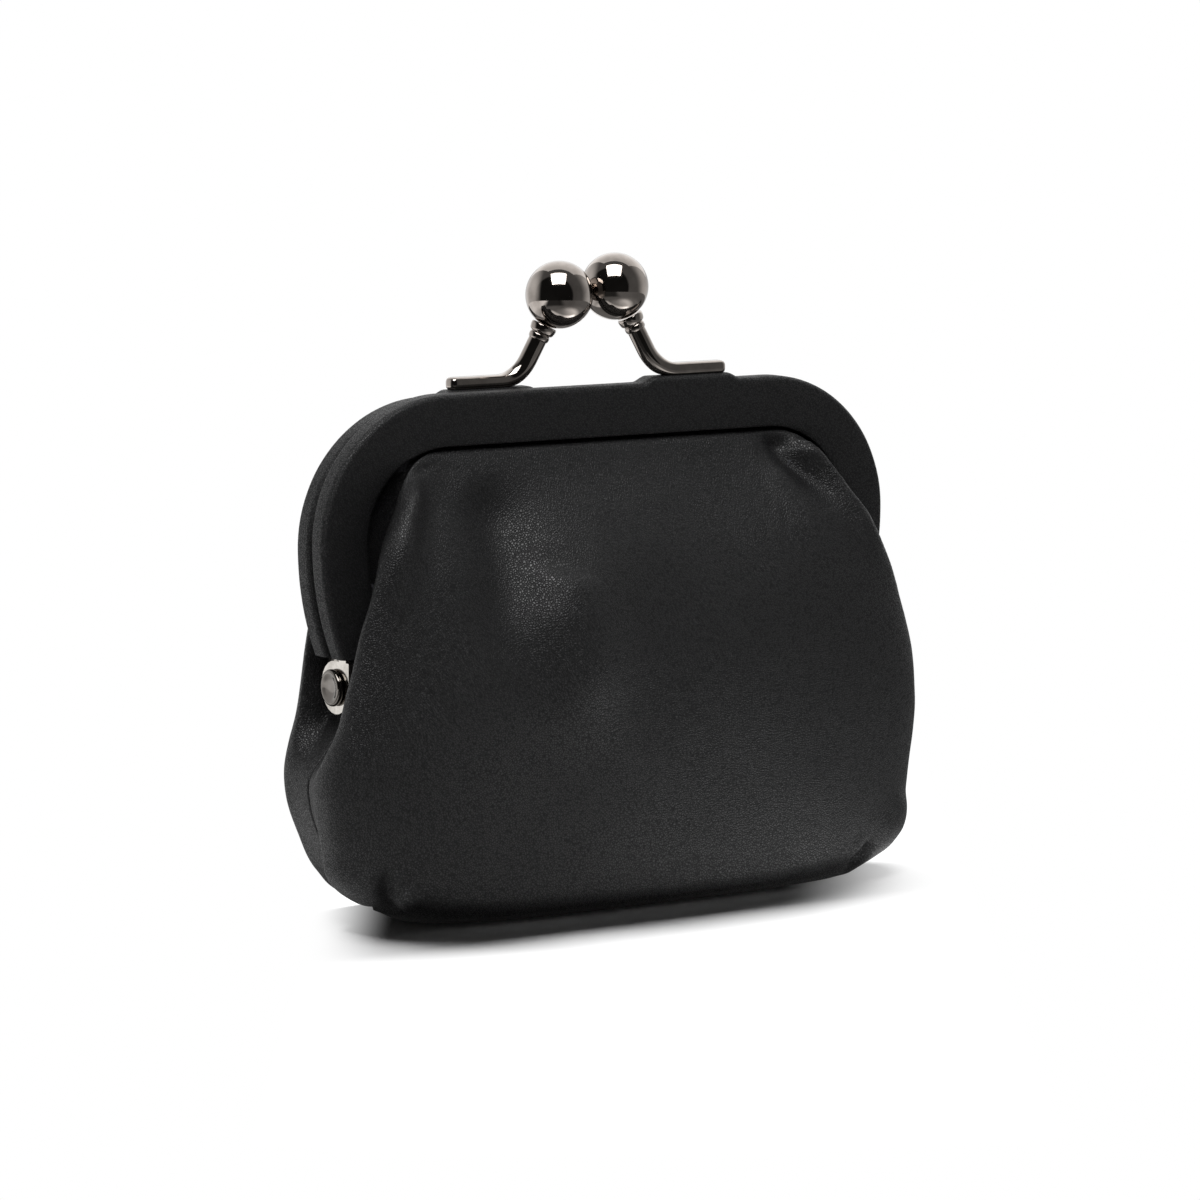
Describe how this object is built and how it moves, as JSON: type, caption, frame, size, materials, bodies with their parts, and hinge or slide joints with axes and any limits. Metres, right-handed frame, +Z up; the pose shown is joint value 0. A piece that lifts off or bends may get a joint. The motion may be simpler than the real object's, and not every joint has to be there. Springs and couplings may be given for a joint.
{
  "type": "clasp purse",
  "caption": "Soft leather coin wallet hung in a leather-covered hinged frame that opens at two side rivets and closes with a ball clasp.",
  "frame": {"origin": "middle of the purse's footprint on the surface that it stands on", "axes": "+Z up, the front faces -Y, +X to the right seen from the front; the hinge axis runs along X"},
  "size_m": [0.1034, 0.0292, 0.0951],
  "materials": {
    "black_leather": "matte, fine grain",
    "black_lining": "plain woven",
    "dark_steel": "dark, plated",
    "black_nickel": "polished black nickel",
    "paper_twine": "plain twisted paper"
  },
  "bodies": {
    "pouch": {"front_body_panel": "black_leather", "back_body_panel": "black_leather", "front_body_lining": "black_lining", "back_body_lining": "black_lining", "left_hinge_rivet": "black_nickel", "right_hinge_rivet": "black_nickel"},
    "front_frame": {"front_frame_channel": "dark_steel", "front_frame_cover": "black_leather", "front_packing_twine": "paper_twine", "front_clasp_arm": "black_nickel", "front_clasp_collar": "black_nickel", "front_clasp_ball": "black_nickel", "front_upper_panel": "black_leather", "front_upper_lining": "black_lining"},
    "back_frame": {"back_frame_channel": "dark_steel", "back_frame_cover": "black_leather", "back_packing_twine": "paper_twine", "back_clasp_arm": "black_nickel", "back_clasp_collar": "black_nickel", "back_clasp_ball": "black_nickel", "back_upper_panel": "black_leather", "back_upper_lining": "black_lining"}
  },
  "joints": [
    {"name": "front_frame_hinge", "type": "hinge", "parent": "pouch", "child": "front_frame", "pos_m": [0, 0.00245, 0.034], "axis": [1, 0, 0], "range_deg": [0, 45], "deforming": ["front_upper_panel", "front_upper_lining", "front_body_panel", "front_body_lining"]},
    {"name": "back_frame_hinge", "type": "hinge", "parent": "pouch", "child": "back_frame", "pos_m": [0, 0.00245, 0.034], "axis": [-1, 0, 0], "range_deg": [0, 45], "deforming": ["back_upper_panel", "back_upper_lining", "back_body_panel", "back_body_lining"]}
  ],
  "couplings": [
    {"joint": "back_frame_hinge", "follows": "front_frame_hinge", "ratio": 1}
  ]
}
